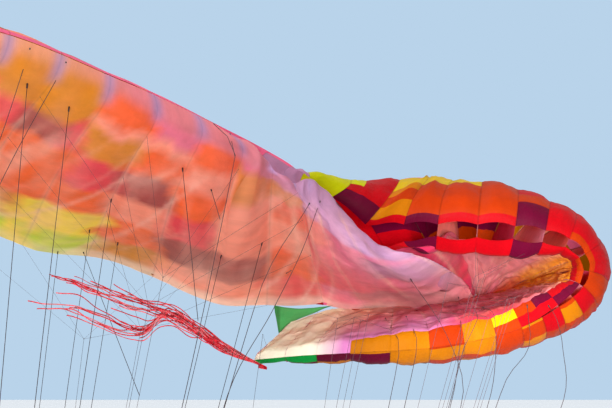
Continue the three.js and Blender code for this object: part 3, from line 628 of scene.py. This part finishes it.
def tint(ribs, share):
    """The light painted on the lower skin, coming through it and off the cloth round it, and how much shows
    through it.
    """
    front, centre, back = (
        np.stack([np.interp(ribs, TINT_RIBS, TINT_COLOURS[:, place, c]) for c in range(3)], -1)
        for place in range(3)
    )
    colour = blended(front, centre, smooth(share, TINT_AT[0], TINT_AT[1]))
    colour = blended(colour, back, smooth(share, TINT_AT[1], TINT_AT[2]))
    return colour, np.interp(ribs, TINT_RIBS, TINT_THROUGH)


def shown_through(ribs, share):
    """The upper skin's fields, blurred as they look through the lower skin."""
    total = 0
    for across in BLUR_RIBS:
        for back in BLUR_SHARE:
            total = total + field_colour(LIT_COLOURS, ribs + across, np.clip(share + back, FIELDS[2], 1))
    return total / (len(BLUR_RIBS) * len(BLUR_SHARE))


def lower_colour(ribs, share, centre_ribs, centre_share):
    """The lower skin's colour at corners, with its nose told by each face's centre. Most of it is painted
    light.
    """
    long = share * chord(ribs)
    part = np.abs(ribs - np.round(ribs))
    # The painted light that comes through the cloth and off the cloth round it, and the upper fields, lit
    # from behind, that show through it with wandering edges
    own, through = tint(ribs, share)
    wander = 0.22 * noise(ribs * 2.7, share * 11, 31)
    seen = shown_through(ribs + wander, share + 0.022 * noise(ribs * 3.3, share * 8, 37))
    haze = 0.92 + 0.1 * noise(ribs * 2.9 + long, long * 3.3, 41)
    colour = blended(own, seen, through * haze * smooth(share - table_at(ribs, QUIET), 0, QUIET_FADE))
    # Painted highlights on seams, streaks along the chord and two sizes of slanting fold, where they catch
    # the light
    pale = np.exp(-((part / 0.05) ** 2)) * smooth(share, 0.05, 0.2) * (1 - smooth(share, 0.8, 1))
    pale = pale * (0.22 + 0.2 * noise(ribs * 5, long * 4, 43))
    streaks = 0.16 * np.maximum(noise(ribs * 6.5 + long * 1.6, long * 1.2, 47), 0) * smooth(share, 0.05, 0.15)
    slant, down = ribs - long, (ribs + long) * 0.5
    fold = 0.36 * np.exp(-((noise(slant * 1.7, down * 0.6, 51) / 0.14) ** 2))
    fold = fold + 0.16 * np.exp(-((noise(slant * 3.1 + 9, down * 0.9, 53) / 0.26) ** 2))
    fold = fold * smooth(share, 0.1, 0.25) * smooth(ribs, 22, 24.5)
    colour = blended(colour, linear(FOLD_COLOUR), np.clip(pale + streaks + fold, 0, 0.8))
    # Painted shade at the top of each seam, and painted light on the tail
    seam_top_shade = 0.7 * np.exp(-((part / 0.13) ** 2)) * (1 - smooth(share, 0.02, 0.07)) * smooth(ribs, 22, 24)
    colour = blended(colour, linear(SEAM_SHADE_COLOUR), seam_top_shade)
    colour = blended(colour, linear(TAIL_LIGHT_COLOUR), table_at(ribs, TAIL_LIGHT) * smooth(share, 0.9, 0.97))
    # Whole fields under the mouth
    group, row = group_of(centre_ribs), field_at(centre_share, UNDER_FIELDS)
    patched = ((row < 2) & ~UNDER_PLAIN[group])[..., None]
    return np.where(patched, UNDER_COLOURS[group, np.minimum(row, 1)], colour)


# Materials


def new_material(name):
    material = bpy.data.materials.new(name)
    material.use_nodes = True
    tree = material.node_tree
    return material, tree.nodes, tree.links, tree.nodes["Principled BSDF"]


def set_values(node, **values):
    """Sets a node's own properties and its input sockets, each by name."""
    for name, value in values.items():
        if hasattr(node, name):
            setattr(node, name, value)
        else:
            node.inputs[name.replace("_", " ")].default_value = value
    return node


def add(nodes, kind, **values):
    return set_values(nodes.new(kind), **values)


def add_texture(place, kind, **values):
    """A texture node that reads its place from a socket."""
    tree = place.id_data
    texture = add(tree.nodes, "ShaderNodeTex" + kind, **values)
    tree.links.new(place, texture.inputs["Vector"])
    return texture


def add_bump(height, shader, strength, distance):
    tree = height.id_data
    bump = add(tree.nodes, "ShaderNodeBump", Strength=strength, Distance=distance)
    tree.links.new(height, bump.inputs["Height"])
    tree.links.new(bump.outputs["Normal"], shader.inputs["Normal"])


def add_ramp(value, shader, dark, light, at=(0, 1)):
    """Colours the shader from dark to light, both as linear light, as a value goes up."""
    tree = value.id_data
    ramp = tree.nodes.new("ShaderNodeValToRGB")
    for stop, colour, position in zip(ramp.color_ramp.elements, (dark, light), at):
        stop.position = position
        stop.color = (*colour, 1)
    tree.links.new(value, ramp.inputs["Fac"])
    tree.links.new(ramp.outputs["Color"], shader.inputs["Base Color"])


def cloth_material(name, thin, seam_shade=0.6):
    """Coated ripstop: the painted colour with a woven grid, dark seams, creases and some light
    coming through. thin is how much of it comes through."""
    material, nodes, links, shader = new_material(name)
    paint = add(nodes, "ShaderNodeAttribute", attribute_name="paint")
    seam = add(nodes, "ShaderNodeAttribute", attribute_name="seam")
    place = add(nodes, "ShaderNodeUVMap", uv_map="cloth").outputs["UV"]
    # Colour: uneven dye, then seams
    mottle = add_texture(place, "Noise", Scale=7.0, Detail=5.0, Roughness=0.6)
    dull = add(nodes, "ShaderNodeMapRange", From_Min=0.3, From_Max=0.75, To_Min=0.86, To_Max=1.1)
    links.new(mottle.outputs["Fac"], dull.inputs["Value"])
    shade = add(nodes, "ShaderNodeVectorMath", operation="SCALE")
    links.new(paint.outputs["Color"], shade.inputs[0])
    links.new(dull.outputs["Result"], shade.inputs["Scale"])
    line = add(nodes, "ShaderNodeMapRange", From_Min=0.002, From_Max=0.009, To_Min=seam_shade, To_Max=1.0)
    links.new(seam.outputs["Fac"], line.inputs["Value"])
    stitched = add(nodes, "ShaderNodeVectorMath", operation="SCALE")
    links.new(shade.outputs["Vector"], stitched.inputs[0])
    links.new(line.outputs["Result"], stitched.inputs["Scale"])
    links.new(stitched.outputs["Vector"], shader.inputs["Base Color"])
    # Weave: a grid of thicker threads 5 mm apart, and small creases over it
    black, white = (0, 0, 0, 1), (1, 1, 1, 1)
    ripstop = add_texture(
        place, "Brick", offset=0.0, Scale=1.0, Mortar_Size=0.0006, Brick_Width=0.005,
        Row_Height=0.005, Color1=black, Color2=black, Mortar=white,
    )
    creases = add_texture(place, "Noise", Scale=26.0, Detail=6.0, Roughness=0.7, Distortion=0.6)
    weave = add(nodes, "ShaderNodeBump", Strength=0.25, Distance=0.0004)
    links.new(ripstop.outputs["Color"], weave.inputs["Height"])
    bump = add(nodes, "ShaderNodeBump", Strength=0.45, Distance=0.012)
    links.new(creases.outputs["Fac"], bump.inputs["Height"])
    links.new(weave.outputs["Normal"], bump.inputs["Normal"])
    links.new(bump.outputs["Normal"], shader.inputs["Normal"])
    set_values(shader, Roughness=0.5, Sheen_Weight=0.03, Specular_IOR_Level=0.06)
    # Light that comes through
    glow = nodes.new("ShaderNodeBsdfTranslucent")
    links.new(stitched.outputs["Vector"], glow.inputs["Color"])
    links.new(bump.outputs["Normal"], glow.inputs["Normal"])
    mix = add(nodes, "ShaderNodeMixShader", Fac=thin)
    links.new(shader.outputs["BSDF"], mix.inputs[1])
    links.new(glow.outputs["BSDF"], mix.inputs[2])
    links.new(mix.outputs["Shader"], nodes["Material Output"].inputs["Surface"])
    return material


def webbing_material(name, colour):
    """Woven polyester strap: threads both ways, worn paler where they stand out."""
    material, nodes, links, shader = new_material(name)
    place = nodes.new("ShaderNodeTexCoord").outputs["Object"]
    warp = add_texture(place, "Wave", Scale=320.0, Distortion=0.4, bands_direction="Z")
    weft = add_texture(place, "Wave", Scale=240.0, Distortion=0.2, bands_direction="X")
    weave = add(nodes, "ShaderNodeMath", operation="MULTIPLY")
    links.new(warp.outputs["Fac"], weave.inputs[0])
    links.new(weft.outputs["Fac"], weave.inputs[1])
    worn = add_texture(place, "Noise", Scale=60.0, Detail=4.0)
    level = add(nodes, "ShaderNodeMath", operation="MULTIPLY_ADD")
    links.new(weave.outputs["Value"], level.inputs[0])
    level.inputs[1].default_value = 0.6
    links.new(worn.outputs["Fac"], level.inputs[2])
    dark, light = linear(colour) * 0.6, np.minimum(linear(colour) * 2.2 + 0.01, 1)
    add_ramp(level.outputs["Value"], shader, dark, light, at=(0.3, 1))
    add_bump(weave.outputs["Value"], shader, strength=0.6, distance=0.0006)
    set_values(shader, Roughness=0.75, Sheen_Weight=0.2)
    return material


def steel_material():
    """Polished steel with fine scratches."""
    material, nodes, links, shader = new_material("steel")
    place = nodes.new("ShaderNodeTexCoord").outputs["Object"]
    scratches = add_texture(place, "Noise", Scale=900.0, Detail=3.0, Roughness=0.8)
    rough = add(nodes, "ShaderNodeMapRange", From_Min=0.3, From_Max=0.7, To_Min=0.16, To_Max=0.38)
    links.new(scratches.outputs["Fac"], rough.inputs["Value"])
    links.new(rough.outputs["Result"], shader.inputs["Roughness"])
    set_values(shader, Metallic=1.0, Base_Color=(0.62, 0.63, 0.65, 1))
    return material


def cord_material(name, colour, scale):
    """Braided cord: a fine slanted weave."""
    material, nodes, _, shader = new_material(name)
    place = nodes.new("ShaderNodeTexCoord").outputs["Object"]
    braid = add_texture(place, "Wave", Scale=scale, Distortion=1.5, bands_direction="DIAGONAL")
    dark, light = linear(colour) * 0.7, np.minimum(linear(colour) * 1.5, 1)
    add_ramp(braid.outputs["Fac"], shader, dark, light)
    add_bump(braid.outputs["Fac"], shader, strength=0.5, distance=0.0003)
    set_values(shader, Roughness=0.7)
    return material


def ribbon_material():
    """Thin shiny ribbon: a fine lengthwise grain, and uneven red."""
    material, nodes, _, shader = new_material("ribbon")
    place = nodes.new("ShaderNodeTexCoord").outputs["Object"]
    grain = add_texture(place, "Noise", Scale=40.0, Detail=4.0, Roughness=0.6)
    dark, light = (linear(code) for code in RIBBON_COLOURS)
    add_ramp(grain.outputs["Fac"], shader, dark, light, at=(0.35, 0.65))
    add_bump(grain.outputs["Fac"], shader, strength=0.4, distance=0.001)
    set_values(shader, Roughness=0.35)
    return material


# Making pieces


def add_camera():
    data = bpy.data.cameras.new("camera")
    data.lens = LENS_MM
    data.sensor_width = SENSOR_MM
    camera = bpy.data.objects.new("camera", data)
    camera.location = CAMERA_AT
    camera.rotation_euler = (math.pi / 2 + CAMERA_PITCH, 0, 0)
    bpy.context.scene.collection.objects.link(camera)
    bpy.context.scene.camera = camera


def mesh_piece(name, points, faces, material):
    mesh = bpy.data.meshes.new(name)
    mesh.from_pydata([tuple(p) for p in points], [], [tuple(f) for f in faces])
    mesh.update()
    mesh.materials.append(material)
    piece = bpy.data.objects.new(name, mesh)
    bpy.context.scene.collection.objects.link(piece)
    mesh.polygons.foreach_set("use_smooth", [True] * len(mesh.polygons))
    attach(piece, "wing")
    return piece


def grid_faces(rows, columns, flip=False):
    i, j = np.meshgrid(np.arange(rows - 1), np.arange(columns - 1), indexing="ij")
    a = (i * columns + j).ravel()
    b, c, d = a + 1, a + columns + 1, a + columns
    return np.stack((a, d, c, b) if flip else (a, b, c, d), -1)


def paint(piece, corner_colours, corner_seam, corner_uv):
    """Writes a value for each face corner: colour, distance from a seam, and place on the cloth."""
    mesh = piece.data
    colours = mesh.color_attributes.new("paint", "FLOAT_COLOR", "CORNER")
    with_alpha = np.concatenate((corner_colours, np.ones((len(corner_colours), 1))), 1)
    colours.data.foreach_set("color", with_alpha.astype(np.float32).ravel())
    seam = mesh.attributes.new("seam", "FLOAT", "CORNER")
    seam.data.foreach_set("value", corner_seam.astype(np.float32))
    layer = mesh.uv_layers.new(name="cloth")
    layer.data.foreach_set("uv", corner_uv.astype(np.float32).ravel())


def add_skin(panel, side, material):
    """One panel's upper or lower skin: four cells of cloth from nose to tail, with a row of
    points on each field's edge. Also gives its flat size and flat area."""
    first = panel * CELLS_PER_PANEL
    last = first + CELLS_PER_PANEL
    number = f"{panel + 1:02d}"
    edges = FIELDS[1:-1] if side > 0 else UNDER_FIELDS[1:-1]
    places = np.linspace(0, 1, ALONG + 1) ** SPREAD
    for edge in edges:
        at = place_of(edge, side)
        places[np.argmin(np.abs(places - at))] = at
    columns = np.linspace(first, last, CELLS_PER_PANEL * ACROSS + 1)
    ribs, spots = np.meshgrid(columns, places, indexing="ij")
    points, share = skin_points(ribs, spots, side)
    faces = grid_faces(len(columns), len(places), side < 0)
    name = ("upper_cloth_" if side > 0 else "lower_cloth_") + number
    piece = mesh_piece(name, points.reshape(-1, 3), faces, material)
    ribs, share = ribs.ravel(), share.ravel()
    corners = faces.ravel()
    centre_ribs = np.repeat(ribs[faces].mean(1), 4)
    centre_share = np.repeat(share[faces].mean(1), 4)
    if side > 0:
        colours = field_colour(FIELD_COLOURS, centre_ribs, centre_share)
    else:
        colours = lower_colour(ribs[corners], share[corners], centre_ribs, centre_share)
    width = np.linalg.norm(np.diff(points[:, ALONG // 2], axis=0), axis=1).sum()
    length = np.linalg.norm(np.diff(points[len(columns) // 2], axis=0), axis=1).sum()
    cell = width / CELLS_PER_PANEL
    seam = np.abs(ribs - np.round(ribs)) * cell
    uv = np.stack((ribs[corners] * cell, share[corners] * length), -1)
    paint(piece, colours, seam[corners], uv)
    area = sum(p.area for p in piece.data.polygons)
    wide = max(width, area / length)
    return piece, (wide, length), min(area, wide * length)


def add_ribs(panel, material):
    """The cell walls of one panel, from just inside the nose to near the tail."""
    points, faces, colours, seams, uvs = [], [], [], [], []
    first = panel * CELLS_PER_PANEL
    last = first + CELLS_PER_PANEL
    share = RIB_FROM + RIB_LONG * np.linspace(0, 1, RIB_STEPS) ** RIB_SPREAD
    rows = np.arange(RIB_ROWS)
    rise = np.linspace(*RIB_HEIGHTS, RIB_ROWS)[None, :, None]
    cloth = np.stack(np.meshgrid(share * RIB_CLOTH[0], rows * RIB_CLOTH[1], indexing="ij"), -1).reshape(-1, 2)
    from_edge = np.tile(np.minimum(rows, RIB_ROWS - 1 - rows) * RIB_SEAM, RIB_STEPS)
    grid = grid_faces(RIB_STEPS, RIB_ROWS)
    for rib in range(first, last + (last == CELLS)):
        if np.linalg.norm(at_rib(rib, SAG)) > RIB_SAG:
            continue
        at = min(max(rib, TIP_IN), CELLS - TIP_IN)
        low, top = bare_edge(at, share, -1), bare_edge(at, share, 1)
        faces.extend(grid + len(points))
        points.extend((low[:, None] * (1 - rise) + top[:, None] * rise).reshape(-1, 3))
        shade = linear(RIB_COLOURS[rib % len(RIB_COLOURS)])
        colours.append(np.tile(shade, (grid.size, 1)))
        seams.append(from_edge[grid.ravel()])
        uvs.append(cloth[grid.ravel()])
    if not faces:
        return None
    piece = mesh_piece(f"ribs_{panel + 1:02d}", points, faces, material)
    paint(piece, np.concatenate(colours), np.concatenate(seams), np.concatenate(uvs))
    return piece


def add_canopy():
    upper_material = cloth_material("upper cloth", 0.42, seam_shade=0.72)
    lower_material = cloth_material("lower cloth", 0.42, seam_shade=0.9)
    rib_material = cloth_material("rib cloth", 0.5)
    for panel in range(CELLS // CELLS_PER_PANEL):
        number = f"{panel + 1:02d}"
        upper_node, lower_node = "upper_skin_" + number, "lower_skin_ribs_" + number
        upper, flat, area = add_skin(panel, 1, upper_material)
        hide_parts(upper_node)
        lower, flat, area = add_skin(panel, -1, lower_material)
        ribs = add_ribs(panel, rib_material)
        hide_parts(lower_node)


def smooth_line(points, steps):
    """A smooth curve through points, with a point count for each stretch."""
    points = np.array(points, float)
    run = np.concatenate(([0], np.cumsum(np.linalg.norm(np.diff(points, axis=0), axis=1))))
    at = np.linspace(0, run[-1], (len(points) - 1) * steps + 1)
    return hermite(at, run, points)


def tube(line, radius, sides=6):
    """Points and faces of a closed round tube along a line."""
    line = np.array(line, float)
    along_it = unit(np.gradient(line, axis=0))
    across = unit(np.cross(along_it, TUBE_UP))
    back = np.cross(along_it, across)
    turn = 2 * math.pi * np.arange(sides) / sides
    ring = np.cos(turn)[None, :, None] * across[:, None] + np.sin(turn)[None, :, None] * back[:, None]
    points = (line[:, None] + radius * ring).reshape(-1, 3)
    faces = []
    for i in range(len(line) - 1):
        for k in range(sides):
            a, b = i * sides + k, i * sides + (k + 1) % sides
            faces.append((a, b, b + sides, a + sides))
    faces.append(tuple(range(sides))[::-1])
    faces.append(tuple(range(len(points) - sides, len(points))))
    return points, faces


def joined(parts):
    points, faces = [], []
    for part_points, part_faces in parts:
        base = len(points)
        points.extend(part_points)
        faces.extend(tuple(i + base for i in face) for face in part_faces)
    return points, faces


def on_lower_skin(rib, share):
    places = place_of(np.array([share]), -1)
    return skin_points(np.array([float(rib)]), places, -1)[0][0]


def add_lines():
    """The finer rigging, and the lines that hang slack in the bowl."""
    material = cord_material("fine line", FINE_LINE_COLOUR, 700.0)
    for group, rows in LINES.items():
        parts = []
        for rib, share, *via, end in rows:
            start = on_lower_skin(rib, share)
            stops = [start, *via]
            if end:
                stops.append(RISER_TOPS[end])
            parts.append(tube(smooth_line(stops, LINE_STEPS), LINE_R))
            tab = [start, start + unit(np.array(stops[1]) - start) * TAB_LONG]
            parts.append(tube(smooth_line(tab, 2), TAB_R, 5))
        mesh_piece("fine_lines_" + group, *joined(parts), material)


def add_ribbons():
    """Strips of thin ribbon tied to the left tip, streaming in the wind."""
    rng = np.random.default_rng(5)
    lower_path, upper_path = (smooth_line(np.array(way) * MM, 12) for way in (STREAMER_PATH, STREAMER_UPPER))
    points, faces = [], []
    for strip in range(RIBBONS):
        # Each strip draws its length, its path, how far it strays from it and its twist
        until = rng.uniform(0.5, 1) if strip else 1
        path = upper_path if rng.uniform() < UPPER_SHARE else lower_path
        rise = rng.uniform(-0.04, 0.07) + 0.12 * rng.uniform() ** 3
        deep, twist = rng.uniform(-0.06, 0.06), rng.uniform(0, 6)
        share = np.linspace(0, until, RIBBON_STEPS)
        fan = smooth(share, rng.uniform(0.05, 0.4), rng.uniform(0.7, 1))
        spine = hermite(share * (len(path) - 1), np.arange(float(len(path))), path)
        loose = smooth(share, 0.04, 0.3)
        level = np.zeros_like(share)
        wave = noise(share * 6 + strip * 3.1, level + strip * 1.7, 21) * 0.045 * loose
        wave = wave + noise(share * 17 + strip, level + strip * 2.3, 22) * 0.016 * loose
        spine[:, 0] += fan * rise * 0.25
        spine[:, 1] += fan * deep + wave * 0.6
        spine[:, 2] += fan * rise + wave + 0.006 * noise(level + strip, share * 5, 3)
        turn = twist + share * 9 + strip
        flat = np.stack((0.25 * np.sin(turn), 0.5 * np.sin(turn * 1.3), np.cos(turn * 0.7) * 0.6 + 1.1), -1)
        half = unit(flat) * RIBBON_WIDTH / 2
        faces.extend(grid_faces(RIBBON_STEPS, 2) + len(points))
        points.extend(np.stack((spine - half, spine + half), 1).reshape(-1, 3))
    piece = mesh_piece("tip_ribbons", points, faces, ribbon_material())
    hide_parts("tip_streamers")


def add_stabilizers():
    """The small soft fins under each tip."""
    material = cloth_material("stabilizer cloth", 0.4)
    faces = grid_faces(FIN_ROWS, FIN_COLUMNS)
    corner = faces.ravel()
    u, v = np.meshgrid(np.linspace(0, 1, FIN_ROWS), np.linspace(0, 1, FIN_COLUMNS), indexing="ij")
    for name, fin in STABILIZERS.items():
        # Cloth between the tip's lower edge and the line from one free corner to the other
        rib = fin["rib"]
        inward = 1 if rib == 0 else -1
        edge = bare_edge(rib, np.linspace(fin["from"], 1, FIN_COLUMNS), -1)
        edge = edge + unit(at_rib(rib, LEAD) - at_rib(rib + inward, LEAD)) * FIN_OFF
        back, front = (np.array(point) * MM for point in fin["free"])
        t = np.linspace(0, 1, FIN_COLUMNS)[:, None]
        free = front * (1 - t) + back * t
        down = np.linspace(0, 1, FIN_ROWS)[:, None, None]
        grid = edge[None] * (1 - down) + free[None] * down
        # Swell and ruffles
        out = unit(np.cross(grid[-1, 0] - grid[0, 0], grid[0, -1] - grid[0, 0]))
        swell = FIN_SWELL * np.sin(math.pi * v) * u * (1 - 0.4 * u)
        swell = swell + FIN_RUFFLE * noise(u * 4 + 3, v * 5, 61) * u
        grid = grid + out * swell[..., None]
        piece = mesh_piece("stabilizer_cloth_" + name, grid.reshape(-1, 3), faces, material)
        # Painted light: each fin takes its cloth colour as it looks with light coming through it
        colours = np.tile(linear(LIT[fin["colour"]]), (len(corner), 1))
        across, deep = v.ravel()[corner], u.ravel()[corner]
        long = np.linalg.norm(np.diff(edge, axis=0), axis=1).sum()
        tall = np.linalg.norm(grid[-1] - grid[0], axis=-1).mean()
        hem = np.minimum(np.minimum(across, 1 - across) * long, np.minimum(deep, 1 - deep) * tall)
        paint(piece, colours, np.maximum(hem - HEM, 0), np.stack((across * long, deep * tall), -1))
        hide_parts("stabilizer_" + name)


def add_stage():
    """A plain pale floor."""
    mesh = bpy.data.meshes.new("floor")
    signs = ((-1, -1), (1, -1), (1, 1), (-1, 1))
    corners = [(x * FLOOR_HALF, y * FLOOR_HALF, FLOOR_Z) for x, y in signs]
    mesh.from_pydata(corners, [], [(0, 1, 2, 3)])
    floor = bpy.data.objects.new("floor", mesh)
    material, _, _, shader = new_material("floor")
    set_values(shader, Base_Color=FLOOR_COLOUR, Roughness=0.9)
    mesh.materials.append(material)
    bpy.context.scene.collection.objects.link(floor)


def place_lamp(data, lamp):
    light = bpy.data.objects.new(data.name, data)
    light.location = lamp["from"]
    light.rotation_euler = (Vector(lamp["from"]) - Vector(lamp["to"])).to_track_quat("Z", "Y").to_euler()
    light.visible_camera = False
    bpy.context.scene.collection.objects.link(light)


def add_light():
    """A pale backdrop, soft light from all round, two suns, a lamp that reaches into the bowl and
    a broad one under the inflated half."""
    world = bpy.data.worlds.new("studio")
    bpy.context.scene.world = world
    world.use_nodes = True
    nodes, links = world.node_tree.nodes, world.node_tree.links
    backdrop = nodes["Background"]
    set_values(backdrop, Color=(*linear(BACKDROP), 1))
    soft = add(nodes, "ShaderNodeBackground", Color=ALL_ROUND, Strength=ALL_ROUND_STRENGTH)
    path = nodes.new("ShaderNodeLightPath")
    mix = nodes.new("ShaderNodeMixShader")
    links.new(path.outputs["Is Camera Ray"], mix.inputs["Fac"])
    links.new(soft.outputs["Background"], mix.inputs[1])
    links.new(backdrop.outputs["Background"], mix.inputs[2])
    links.new(mix.outputs["Shader"], nodes["World Output"].inputs["Surface"])
    for name, start, strength, width in SUNS:
        data = bpy.data.lights.new(name, "SUN")
        data.energy = strength
        data.angle = math.radians(width)
        light = bpy.data.objects.new(name, data)
        light.rotation_euler = Vector(start).to_track_quat("Z", "Y").to_euler()
        bpy.context.scene.collection.objects.link(light)
    reach = bpy.data.lights.new("bowl light", "SPOT")
    reach.energy = BOWL_LIGHT["watts"]
    reach.spot_size = math.radians(BOWL_LIGHT["cone"])
    reach.spot_blend = 1
    reach.shadow_soft_size = BOWL_LIGHT["radius"]
    place_lamp(reach, BOWL_LIGHT)
    broad = bpy.data.lights.new("softbox", "AREA")
    broad.shape = "SQUARE"
    broad.size = SOFTBOX["size"]
    broad.energy = SOFTBOX["watts"]
    place_lamp(broad, SOFTBOX)


def finish_nodes():
    """Better materials for the nodes that keep their own shape."""
    finishes = {
        "line": cord_material("braided line", LINE_COLOUR, 900.0),
        "webbing": webbing_material("webbing", WEBBING_COLOUR),
        "steel": steel_material(),
    }
    for name, node in frame["nodes"].items():
        slot = SLOTS.get(name)
        if slot not in finishes:
            continue
        node.data.materials.clear()
        node.data.materials.append(finishes[slot])
        if slot in ROUNDED:
            bevel = node.modifiers.new("rounded edges", "BEVEL")
            bevel.width = ROUNDED[slot]
            bevel.segments = 2
            bevel.limit_method = "ANGLE"
            bevel.angle_limit = math.radians(35)


bpy.context.scene.view_settings.view_transform = "Standard"
add_camera()
add_canopy()
add_stabilizers()
add_ribbons()
add_lines()
finish_nodes()
add_stage()
add_light()
